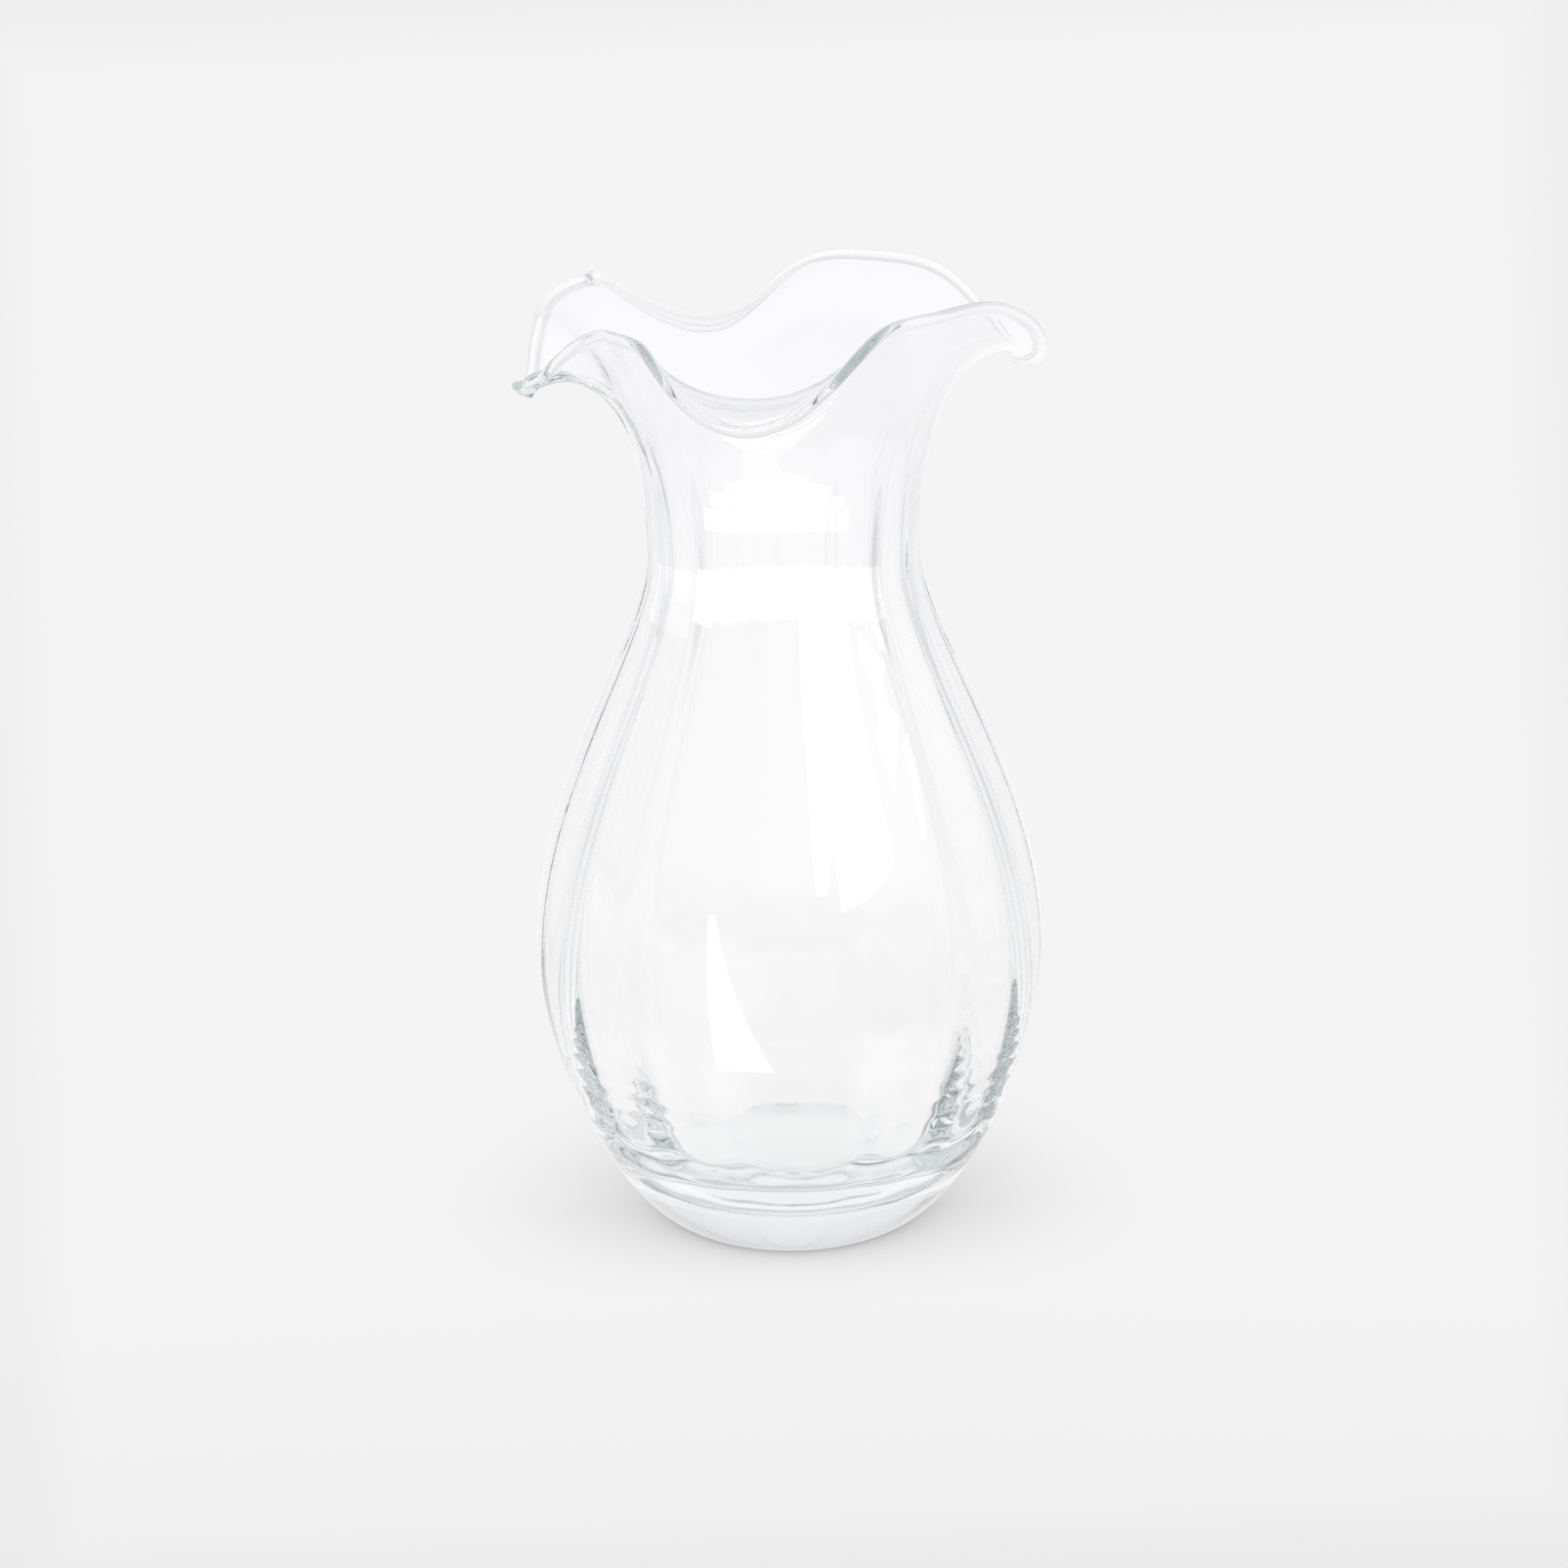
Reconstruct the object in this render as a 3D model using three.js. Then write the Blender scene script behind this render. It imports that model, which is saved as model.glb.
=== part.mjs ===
// A blown glass vase: heavy rounded base, fluted belly, narrow neck and a ruffled lip.
// Millimetres, +Z up. The origin is the middle of the ground flat that the vase stands on.
// Azimuths are in degrees: 0 is the front (-Y) and 90 is the right (+X).

import * as THREE from 'three';

// Outside of the body
const footRadius = 36.9;
const heelRadius = 1.5;
const heelSlope = 66.5; // the wall leaves the heel this far from upright
const heelReach = 18.9;
const bellyRadius = 76.6;
const bellyHeight = 87;
const bellyFullBelow = 34.3;
const bellyFullAbove = 51.8;
const neckRadius = 40.5;
const neckHeight = 210;
const neckEase = 23;

// Lip: a trumpet flare common to all azimuths, and a ruffle that grows towards the edge
const lipLength = 85; // along the glass, from the neck to the edge
const flareAngle = 37.5;
const flareGrowth = 1.25;
const ruffleGrowth = 3.45;

// Lobes of the ruffle, drooping and standing in turn. droop is the edge's angle from upright,
// stretch is how far the lip was drawn out there, and pinch is how narrow a drooping lobe is.
const lobes = [
  { at: -7, droop: 147, stretch: 1.065, pinch: 1.35 },
  { at: 38, droop: 39, stretch: 1.025 },
  { at: 115, droop: 156, stretch: 0.94, pinch: 2.1 },
  { at: 155, droop: 78, stretch: 1.025 },
  { at: 196, droop: 160, stretch: 0.97, pinch: 2.2 },
  { at: 254, droop: 63, stretch: 0.995 },
  { at: 294, droop: 137, stretch: 0.88, pinch: 5 },
  { at: 309, droop: 32, stretch: 0.93 },
];

// The left lobe's edge is drawn out to a point
const drawnPoint = { at: 293, stretch: 0.175, spread: 9 };

// A small lump on the rim, where the hot glass was nipped off
const knot = { at: 232, swell: 0.75, spread: 2.4 };

// Thickness of the glass
const heelWall = 8;
const bellyWall = 3;
const neckWall = 2.8;
const lipWall = 1.6;
const beadRadius = 1.6;
const floorHeight = 17;
const floorFlat = 0.4; // how much of the floor's radius is close to level
const floorRise = 22; // the floor curves up into the wall from this far above its middle

// Optic flutes: soft ribs, thick and thin in turn, that fade out at the foot and on the lip
const fluteCount = 16;
const outsideFlute = 0.12; // how far the outside waves out and in
const insideFlute = 0.6;
const fluteAzimuth = 2.7;
const fluteStart = 18;
const fluteRise = 34;
const fluteFade = 60;

// Fineness of the surface: about how large a facet is
const facetWidth = 5;
const bodyFacet = 15;
const lipFacet = 8.5;
const heelRows = 2;
const lipSteps = 4; // steps of the lip's sum in each of its rows
const beadRows = 5;
const floorRows = 7;
const nudge = 0.5; // azimuth step that the surface's direction is measured over

const { degToRad: rad, lerp, smoothstep, euclideanModulo } = THREE.MathUtils;
const turned = (azimuth, start) => euclideanModulo(azimuth - start, 360);
const apart = (azimuth, other) => Math.min(turned(azimuth, other), turned(other, azimuth));

// Body outline: an arc round the heel, then a curve out to the belly and a curve in to the neck
const heelTurn = rad(90 - heelSlope);
const heelPoint = (turn) => new THREE.Vector2(
  footRadius + heelRadius * Math.sin(turn),
  heelRadius * (1 - Math.cos(turn)),
);
const heelEnd = heelPoint(heelTurn);
const heelDirection = new THREE.Vector2(Math.cos(heelTurn), Math.sin(heelTurn));
const belly = new THREE.Vector2(bellyRadius, bellyHeight);
const neck = new THREE.Vector2(neckRadius, neckHeight);
const lowerCurve = new THREE.CubicBezierCurve(
  heelEnd,
  heelEnd.clone().addScaledVector(heelDirection, heelReach),
  new THREE.Vector2(bellyRadius, bellyHeight - bellyFullBelow),
  belly,
);
const upperCurve = new THREE.CubicBezierCurve(
  belly,
  new THREE.Vector2(bellyRadius, bellyHeight + bellyFullAbove),
  new THREE.Vector2(neckRadius, neckHeight - neckEase),
  neck,
);

// Each point of an outline carries its wall thickness and how strong the flutes are there
function bodyPoint(point) {
  const below = 1 - smoothstep(point.y, 0, bellyHeight);
  const above = Math.max(0, (point.y - bellyHeight) / (neckHeight - bellyHeight));
  const wall = lerp(bellyWall, heelWall, below) + (neckWall - bellyWall) * above;
  return { r: point.x, z: point.y, wall, flute: smoothstep(point.y, fluteStart, fluteStart + fluteRise) };
}

function bodyOutline() {
  const rows = (curve) => Math.ceil(curve.getLength() / bodyFacet);
  const points = [];
  for (let i = 0; i < heelRows; i += 1) points.push(heelPoint(heelTurn * i / heelRows));
  points.push(...lowerCurve.getSpacedPoints(rows(lowerCurve)));
  points.push(...upperCurve.getSpacedPoints(rows(upperCurve)).slice(1));
  return points.map(bodyPoint);
}

// The lip's droop and length at an azimuth, blended between the two lobes that it lies between
function lobeAt(azimuth) {
  const start = lobes[0].at;
  const index = lobes.findLastIndex((lobe) => turned(lobe.at, start) <= turned(azimuth, start));
  const here = lobes[index];
  const next = lobes[(index + 1) % lobes.length];
  const share = turned(azimuth, here.at) / turned(next.at, here.at);
  const [drooping, standing, nearness] = here.pinch ? [here, next, 1 - share] : [next, here, share];
  const weight = ((1 - Math.cos(Math.PI * nearness)) / 2) ** drooping.pinch;
  const aside = apart(azimuth, drawnPoint.at) / drawnPoint.spread;
  const drawn = drawnPoint.stretch * Math.max(0, 1 - aside) ** 2;
  return {
    droop: lerp(standing.droop, drooping.droop, weight),
    length: lipLength * (lerp(standing.stretch, drooping.stretch, weight) + drawn),
  };
}

// The bead's radius at an azimuth: the same all round but for the knot
function beadAt(azimuth) {
  const aside = apart(azimuth, knot.at) / knot.spread;
  return beadRadius * (1 + knot.swell * Math.exp(-(aside ** 2)));
}

// Where the bead's circle leaves the wall of the lip, as an angle below the bead's middle
const beadWaist = Math.acos(Math.min(1, lipWall / 2 / beadRadius));

// The lip's outline at one azimuth. Its slope from upright grows with the length along it, and
// the points come from adding up short steps along that slope.
function lipOutline(azimuth) {
  const { droop, length } = lobeAt(azimuth);
  const reach = length - beadRadius * (1 + Math.sin(beadWaist));
  const steps = Math.ceil(lipLength / lipFacet) * lipSteps;
  const points = [];
  let { x: r, y: z } = neck;
  for (let i = 0; i < steps; i += 1) {
    const run = (i + 0.5) / steps * reach / length;
    const slope = rad(flareAngle * run ** flareGrowth + (droop - flareAngle) * run ** ruffleGrowth);
    r += Math.sin(slope) * reach / steps;
    z += Math.cos(slope) * reach / steps;
    if ((i + 1) % lipSteps === 0) {
      const share = (i + 1) / steps;
      const flute = 1 - smoothstep(share * reach, 0, fluteFade);
      points.push({ r, z, wall: lerp(neckWall, lipWall, share), flute });
    }
  }
  return points;
}

const body = bodyOutline();

// The whole outside at one azimuth, with the flutes' ripple, as points in space. The inside
// ripples the other way, so the wall is thick at a rib and thin between two.
function outside(azimuth) {
  const turn = rad(azimuth);
  const ripple = Math.cos(fluteCount * rad(azimuth - fluteAzimuth));
  return [...body, ...lipOutline(azimuth)].map(({ r, z, wall, flute }) => {
    const radius = r + outsideFlute * ripple * flute;
    const point = new THREE.Vector3(radius * Math.sin(turn), -radius * Math.cos(turn), z);
    return { point, wall: wall + (outsideFlute + insideFlute) * ripple * flute };
  });
}

// The inside floor, from the foot of the inner wall towards the axis
function floorPoints(start, above) {
  const middle = new THREE.Vector3(0, 0, floorHeight);
  const downward = start.clone().sub(above).normalize();
  const flat = new THREE.Vector3(start.x, start.y, 0).multiplyScalar(floorFlat).setZ(floorHeight);
  const bend = start.clone().addScaledVector(downward, floorRise);
  const curve = new THREE.CubicBezierCurve3(start, bend, flat, middle);
  return curve.getPoints(floorRows + 1).slice(1, -1);
}

// One closed meridian: up the outside, round the bead, down the inside and in along the floor
function meridian(azimuth) {
  const outer = outside(azimuth);
  const left = outside(azimuth - nudge);
  const right = outside(azimuth + nudge);
  const last = outer.length - 1;
  const sections = outer.map(({ point, wall }, i) => {
    const up = outer[Math.min(i + 1, last)].point.clone().sub(outer[Math.max(i - 1, 0)].point);
    const round = right[i].point.clone().sub(left[i].point);
    const normal = round.cross(up).normalize();
    return { point, up: up.normalize(), normal, inner: point.clone().addScaledVector(normal, -wall) };
  });
  const edge = sections[last];
  const beadCentre = edge.point.clone().lerp(edge.inner, 0.5)
    .addScaledVector(edge.up, beadRadius * Math.sin(beadWaist));
  const radius = beadAt(azimuth);
  const bead = [];
  for (let i = 1; i <= beadRows; i += 1) {
    const angle = lerp(-beadWaist, Math.PI + beadWaist, i / (beadRows + 1));
    bead.push(beadCentre.clone()
      .addScaledVector(edge.normal, radius * Math.cos(angle))
      .addScaledVector(edge.up, radius * Math.sin(angle)));
  }
  const inner = sections.filter(({ point }) => point.z > floorHeight + floorRise)
    .map((section) => section.inner)
    .reverse();
  const floor = floorPoints(inner.at(-1), inner.at(-2));
  return [...sections.map(({ point }) => point), ...bead, ...inner, ...floor];
}

// Joins the meridians into one closed skin, with the middle of the foot and of the floor as poles.
// Each flute takes the same number of meridians.
function vaseGeometry() {
  const fluteWidth = 2 * Math.PI * bellyRadius / fluteCount;
  const meridians = fluteCount * Math.round(fluteWidth / facetWidth);
  const lines = [];
  for (let j = 0; j < meridians; j += 1) lines.push(meridian(360 * j / meridians));
  const rows = lines[0].length;
  const foot = meridians * rows;
  const floor = foot + 1;
  const at = (j, i) => (j % meridians) * rows + i;
  const index = [];
  for (let j = 0; j < meridians; j += 1) {
    index.push(foot, at(j + 1, 0), at(j, 0));
    for (let i = 0; i < rows - 1; i += 1) {
      index.push(at(j, i), at(j + 1, i), at(j + 1, i + 1));
      index.push(at(j, i), at(j + 1, i + 1), at(j, i + 1));
    }
    index.push(at(j, rows - 1), at(j + 1, rows - 1), floor);
  }
  const middles = [new THREE.Vector3(0, 0, 0), new THREE.Vector3(0, 0, floorHeight)];
  const geometry = new THREE.BufferGeometry().setFromPoints([...lines.flat(), ...middles]);
  geometry.setIndex(index);
  geometry.computeVertexNormals();
  return geometry;
}

const glass = new THREE.MeshStandardMaterial({
  color: 0xeef5f3,
  roughness: 0.03,
  metalness: 0,
  transparent: true,
  opacity: 0.35,
});

const vase = new THREE.Mesh(vaseGeometry(), glass);
vase.name = 'glass_vase';

const part = new THREE.Group();
part.add(vase);

export default part;
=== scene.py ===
"""A hand-blown clear glass vase with a fluted belly and a ruffled lip, on a pale studio floor.

The vase is one closed skin of glass. Its outside is worked out on a grid of azimuth and height:
a body outline turned round the axis, with soft flutes, and a lip whose droop changes from lobe to
lobe. The inside lies one wall thickness behind it, a round bead joins the two at the rim, and a
bowl-shaped floor closes the inside. Metres, +Z up, azimuth 0 at the front (-Y) and 90 at +X.
"""

import logging
import math
from collections.abc import Sequence
from dataclasses import astuple, dataclass
from functools import reduce
from typing import Any

import bpy
import numpy as np
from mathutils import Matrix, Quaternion, Vector


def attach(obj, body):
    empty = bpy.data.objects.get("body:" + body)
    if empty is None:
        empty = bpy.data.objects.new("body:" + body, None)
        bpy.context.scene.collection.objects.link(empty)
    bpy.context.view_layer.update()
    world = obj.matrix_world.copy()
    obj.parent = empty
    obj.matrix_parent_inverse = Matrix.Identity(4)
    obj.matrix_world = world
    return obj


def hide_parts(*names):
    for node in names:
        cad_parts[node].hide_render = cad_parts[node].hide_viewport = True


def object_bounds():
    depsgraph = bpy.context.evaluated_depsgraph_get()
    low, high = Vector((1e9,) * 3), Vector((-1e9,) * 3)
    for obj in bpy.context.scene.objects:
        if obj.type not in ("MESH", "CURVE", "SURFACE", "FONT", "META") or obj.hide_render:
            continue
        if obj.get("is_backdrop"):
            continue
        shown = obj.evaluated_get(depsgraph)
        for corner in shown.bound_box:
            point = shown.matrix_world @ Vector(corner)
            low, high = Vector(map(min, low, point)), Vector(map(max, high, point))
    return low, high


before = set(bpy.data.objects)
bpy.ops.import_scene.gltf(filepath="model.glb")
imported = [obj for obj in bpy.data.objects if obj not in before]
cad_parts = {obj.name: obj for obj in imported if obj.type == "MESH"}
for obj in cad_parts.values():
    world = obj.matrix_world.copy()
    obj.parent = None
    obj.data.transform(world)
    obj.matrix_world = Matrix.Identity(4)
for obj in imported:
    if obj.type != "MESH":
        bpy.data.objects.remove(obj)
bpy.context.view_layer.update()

MM = 0.001
CURVE_FINENESS = 50  # steps along a curve for each point that is kept
BOUNCES = 128  # enough for light that runs along inside the wall
log = logging.getLogger("vase")

Array = np.ndarray
Colour = tuple[float, float, float, float]
Span = tuple[float, float]

WHITE: Colour = (1, 1, 1, 1)
BLACK: Colour = (0, 0, 0, 1)
BACKGROUND: Colour = (0.905, 0.905, 0.905, 1)


def smooth_rise(value: Array, low: float, high: float) -> Array:
    """A soft step from 0 at low to 1 at high: three shares squared less two cubed."""
    share = np.clip((value - low) / (high - low), 0, 1)
    return share * share * (3 - 2 * share)


def bezier(corners: Sequence[Sequence[float]], count: int) -> Array:
    """Points evenly spaced by length along a cubic curve.

    The curve is (1-t)^3 a + 3(1-t)^2 t b + 3(1-t) t^2 c + t^3 d. It is worked out finely, and the
    points are then taken at equal steps of its running length.

    Args:
        corners: the curve's four control points.
        count: how many points come back, both ends included.

    Returns:
        An array of count points.
    """
    a, b, c, d = (np.asarray(corner, float) for corner in corners)
    t = np.linspace(0, 1, CURVE_FINENESS * count)[:, None]
    fine = (1 - t) ** 3 * a + 3 * (1 - t) ** 2 * t * b + 3 * (1 - t) * t**2 * c + t**3 * d
    length = np.concatenate([[0], np.cumsum(np.linalg.norm(np.diff(fine, axis=0), axis=1))])
    wanted = np.linspace(0, length[-1], count)
    return np.stack([np.interp(wanted, length, axis) for axis in fine.T], axis=1)


def placed(name: str, data: bpy.types.ID) -> bpy.types.Object:
    """Links a new object into the scene.

    Args:
        name: the object's name.
        data: its mesh, lamp or camera.

    Returns:
        The new object.
    """
    item = bpy.data.objects.new(name, data)
    bpy.context.scene.collection.objects.link(item)
    return item


def only_mirrored(item: bpy.types.Object) -> None:
    """Hides a lamp or a card from all light but what the glass mirrors.

    Args:
        item: the lamp or card.
    """
    item.visible_camera = False
    item.visible_diffuse = False
    item.visible_transmission = False


class ClosedSkin:
    """A closed surface of meridians, each running from a lower pole to an upper one."""

    def __init__(self, points: Array, poles: Sequence[Sequence[float]]) -> None:
        """Keeps the grid.

        Args:
            points: the grid, as meridians by rows by three.
            poles: the points that close the first and the last row.
        """
        self.points = points
        self.poles = poles

    def faces(self) -> tuple[Array, Array]:
        """Numbers the corners of the faces.

        The points are numbered meridian by meridian, and the two poles come after them. A quad
        lies between two rows of neighbouring meridians, and a triangle between two meridians and
        a pole.

        Returns:
            The quads, and the triangles round both poles.
        """
        meridians, rows = self.points.shape[:2]
        number = np.arange(meridians * rows).reshape(meridians, rows)
        following = np.roll(number, -1, axis=0)
        corners = (number[:, :-1], following[:, :-1], following[:, 1:], number[:, 1:])
        quads = np.stack(corners, axis=-1).reshape(-1, 4)
        first = np.full(meridians, meridians * rows)
        start = np.stack([first, following[:, 0], number[:, 0]], axis=-1)
        end = np.stack([number[:, -1], following[:, -1], first + 1], axis=-1)
        return quads, np.concatenate([start, end])

    def mesh(self, name: str) -> bpy.types.Mesh:
        """Puts the skin into a smooth-shaded mesh.

        Args:
            name: the mesh's name.

        Returns:
            The new mesh.
        """
        quads, triangles = self.faces()
        vertices = np.concatenate([self.points.reshape(-1, 3), np.asarray(self.poles, float)])
        corners = np.concatenate([quads.ravel(), triangles.ravel()])
        sizes = np.concatenate([np.full(len(quads), 4), np.full(len(triangles), 3)])
        mesh = bpy.data.meshes.new(name)
        mesh.vertices.add(len(vertices))
        mesh.vertices.foreach_set("co", vertices.ravel())
        mesh.loops.add(len(corners))
        mesh.loops.foreach_set("vertex_index", corners)
        mesh.polygons.add(len(sizes))
        mesh.polygons.foreach_set("loop_start", np.concatenate([[0], np.cumsum(sizes)[:-1]]))
        mesh.polygons.foreach_set("loop_total", sizes)
        mesh.polygons.foreach_set("use_smooth", np.ones(len(sizes), bool))
        mesh.update(calc_edges=True)
        mesh.validate()
        return mesh


@dataclass(frozen=True)
class Outline:
    """An outline at each azimuth: radius, height, wall thickness and strength of the flutes."""

    radius: Array
    height: Array
    wall: Array
    flute: Array

    def then(self, other: "Outline") -> "Outline":
        """This outline with another carried on from its end."""
        pairs = ((getattr(self, name), getattr(other, name)) for name in self.__dict__)
        return Outline(*(np.concatenate(pair, axis=1) for pair in pairs))


@dataclass(frozen=True)
class Walls:
    """How thick the glass is, in metres."""

    heel: float = 8 * MM
    belly: float = 3 * MM
    neck: float = 2.8 * MM
    lip: float = 1.6 * MM
    bead_radius: float = 1.6 * MM

    @property
    def bead_waist(self) -> float:
        """Where the bead's circle leaves the wall, as an angle below the bead's middle."""
        return math.acos(min(1.0, self.lip / 2 / self.bead_radius))


@dataclass(frozen=True)
class OpticFlutes:
    """Soft ribs, thick and thin in turn, left by the ribbed mould that the glass was blown in."""

    count: int = 16
    outside_depth: float = 0.12 * MM
    inside_depth: float = 0.6 * MM
    azimuth: float = 2.7
    start: float = 18 * MM
    rise: float = 34 * MM
    fade: float = 60 * MM

    def wave(self, azimuth: Array) -> Array:
        """The ribs' wave round the body, a cosine: 1 at a rib and -1 between two."""
        return np.cos(self.count * np.radians(azimuth - self.azimuth))


@dataclass(frozen=True)
class SlowWave:
    """A sine round the body, by how many crests it has, how high they are and its phase."""

    crests: int
    size: float
    phase: float = 0.0

    def at(self, turn: Array) -> Array:
        """The wave's value at each turn, in radians."""
        return self.size * np.sin(self.crests * turn + self.phase)


@dataclass(frozen=True)
class Ripples:
    """Uneven rings inside the lower body, left where the hot glass first touched the mould."""

    depth: float = 0.2 * MM
    spacing: float = 6.5 * MM
    low: float = 40 * MM
    high: float = 68 * MM
    shifts: tuple[SlowWave, ...] = (SlowWave(2, 1.7, 1), SlowWave(5, 0.9), SlowWave(11, 0.5))
    swells: tuple[SlowWave, ...] = (SlowWave(3, 0.4, 2), SlowWave(7, 0.2))

    def thickness(self, azimuths: Array, height: Array) -> Array:
        """How much the rings add to the wall.

        A sine of height over the spacing, times the depth. Slow waves round the body shift it up
        and down and make it up to 1.4 times as strong, and it fades out at the top and bottom, and
        at the front and back.

        Args:
            azimuths: the meridians' azimuths, in degrees.
            height: the outline's heights, as meridians by rows.

        Returns:
            The added thickness, as meridians by rows.
        """
        turn = np.radians(azimuths)[:, None]
        shift = sum(wave.at(turn) for wave in self.shifts)
        strength = np.sin(turn) ** 2 * sum((wave.at(turn) for wave in self.swells), start=1)
        middle = (self.low + self.high) / 2
        inside = smooth_rise(height, self.low, middle) * (1 - smooth_rise(height, middle, self.high))
        return self.depth * strength * inside * np.sin(2 * np.pi * height / self.spacing + shift)


@dataclass(frozen=True)
class Body:
    """The outside below the lip: a rounded heel, a curve out to the belly and one in to the neck."""

    foot_radius: float = 36.9 * MM
    heel_radius: float = 1.5 * MM
    heel_slope: float = 66.5
    heel_reach: float = 18.9 * MM
    belly_radius: float = 76.6 * MM
    belly_height: float = 87 * MM
    full_below: float = 34.3 * MM
    full_above: float = 51.8 * MM
    neck_radius: float = 40.5 * MM
    neck_height: float = 210 * MM
    neck_ease: float = 23 * MM
    heel_rows: int = 6
    lower_rows: int = 60
    upper_rows: int = 32

    def profile(self) -> Array:
        """Radius and height from the foot's edge to the neck.

        The heel is an arc, radius foot + heel sin(turn) at height heel (1 - cos(turn)). Two cubic
        curves follow, which meet upright at the belly's widest height.

        Returns:
            The points, as rows by two.
        """
        turn_end = math.radians(90 - self.heel_slope)
        turn = np.linspace(0, turn_end, self.heel_rows + 1)
        heel = np.stack(
            [self.foot_radius + self.heel_radius * np.sin(turn), self.heel_radius * (1 - np.cos(turn))],
            axis=1,
        )
        way = np.array([math.cos(turn_end), math.sin(turn_end)])
        belly = np.array([self.belly_radius, self.belly_height])
        neck = np.array([self.neck_radius, self.neck_height])
        lower = (heel[-1], heel[-1] + way * self.heel_reach, belly - (0, self.full_below), belly)
        upper = (belly, belly + (0, self.full_above), neck - (0, self.neck_ease), neck)
        return np.concatenate(
            [heel[:-1], bezier(lower, self.lower_rows)[:-1], bezier(upper, self.upper_rows)]
        )

    def outline(self, azimuths: Array, walls: Walls, flutes: OpticFlutes) -> Outline:
        """The body's outline, the same at every azimuth.

        The wall thins from the heel to the belly by a soft step of height, and evenly from there
        to the neck.

        Args:
            azimuths: the meridians' azimuths, in degrees.
            walls: the glass's thicknesses.
            flutes: the flutes, which fade in above the heel.

        Returns:
            The outline, as meridians by rows.
        """
        radius, height = self.profile().T
        below = 1 - smooth_rise(height, 0, self.belly_height)
        above = np.clip((height - self.belly_height) / (self.neck_height - self.belly_height), 0, 1)
        wall = walls.belly + (walls.heel - walls.belly) * below + (walls.neck - walls.belly) * above
        flute = smooth_rise(height, flutes.start, flutes.start + flutes.rise)
        rows = (radius, height, wall, flute)
        return Outline(*(np.tile(row, (len(azimuths), 1)) for row in rows))


@dataclass(frozen=True)
class Lobe:
    """One lobe of the ruffle: its azimuth, its droop in degrees and its length over the lip's.

    A drooping lobe also has a pinch, which is 0 where the lobe stands.
    """

    at: float
    droop: float
    stretch: float
    pinch: float = 0.0


@dataclass(frozen=True)
class Lip:
    """The flared, ruffled lip: a trumpet common to all azimuths and lobes that droop or stand.

    It is 0.3 mm shorter than the solid's, because facets cut inside a curve and this skin, which
    is finer, stays inside the solid's box.
    """

    length: float = 84.7 * MM
    flare: float = 37.5
    flare_growth: float = 1.25
    ruffle_growth: float = 3.45
    point_at: float = 293
    point_stretch: float = 0.175
    point_spread: float = 9
    rows: int = 40
    steps: int = 4
    lobes: tuple[Lobe, ...] = (
        Lobe(-7, 147, 1.065, 1.35),
        Lobe(38, 39, 1.025),
        Lobe(115, 156, 0.94, 2.1),
        Lobe(155, 78, 1.025),
        Lobe(196, 160, 0.97, 2.2),
        Lobe(254, 63, 0.995),
        Lobe(294, 137, 0.88, 5),
        Lobe(309, 32, 0.93),
    )

    def shape(self, azimuths: Array) -> tuple[Array, Array]:
        """The edge's droop in degrees and the lip's length in metres at each azimuth.

        Between a standing lobe and a drooping one both follow a raised cosine, to the power of
        the drooping lobe's pinch, so a pinched lobe is a narrow one. One lobe's edge is also
        drawn out to a point, by the square of how near the azimuth is to it.

        Args:
            azimuths: the meridians' azimuths, in degrees.

        Returns:
            The droop and the length, one of each for an azimuth.
        """
        starts, droops, stretches, pinches = np.array([astuple(lobe) for lobe in self.lobes]).T
        turned = (azimuths - starts[0]) % 360
        here = np.searchsorted(starts - starts[0], turned, side="right") - 1
        after = (here + 1) % len(starts)
        share = ((azimuths - starts[here]) % 360) / ((starts[after] - starts[here]) % 360)
        droops_here = pinches[here] > 0
        low, high = np.where(droops_here, here, after), np.where(droops_here, after, here)
        nearness = np.where(droops_here, 1 - share, share)
        weight = ((1 - np.cos(np.pi * nearness)) / 2) ** pinches[low]
        droop = droops[high] + (droops[low] - droops[high]) * weight
        stretch = stretches[high] + (stretches[low] - stretches[high]) * weight
        aside = np.abs((azimuths - self.point_at + 180) % 360 - 180) / self.point_spread
        drawn = self.point_stretch * np.clip(1 - aside, 0, None) ** 2
        return droop, self.length * (stretch + drawn)

    def outline(self, azimuths: Array, neck: Array, walls: Walls, flutes: OpticFlutes) -> Outline:
        """The lip's outline at each azimuth, from the neck up to the bead.

        The slope from upright is flare x run^flare_growth, plus (droop - flare) x
        run^ruffle_growth, where run goes from 0 at the neck to 1 at the edge. Radius and height
        are running sums of its sine and cosine over short steps.

        Args:
            azimuths: the meridians' azimuths, in degrees.
            neck: the neck's radius and height.
            walls: the glass's thicknesses.
            flutes: the flutes, which fade out along the lip.

        Returns:
            The outline, as meridians by rows.
        """
        droop, length = self.shape(azimuths)
        reach = length - walls.bead_radius * (1 + math.sin(walls.bead_waist))
        count = self.rows * self.steps
        middle = (np.arange(count) + 0.5) / count
        run = middle * (reach / length)[:, None]
        ruffle = (droop - self.flare)[:, None] * run**self.ruffle_growth
        slope = np.radians(self.flare * run**self.flare_growth + ruffle)
        step = (reach / count)[:, None]
        kept = slice(self.steps - 1, None, self.steps)
        radius = (neck[0] + np.cumsum(np.sin(slope) * step, axis=1))[:, kept]
        height = (neck[1] + np.cumsum(np.cos(slope) * step, axis=1))[:, kept]
        share = np.tile(np.arange(1, self.rows + 1) / self.rows, (len(azimuths), 1))
        wall = walls.neck + (walls.lip - walls.neck) * share
        return Outline(radius, height, wall, 1 - smooth_rise(share * reach[:, None], 0, flutes.fade))


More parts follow.
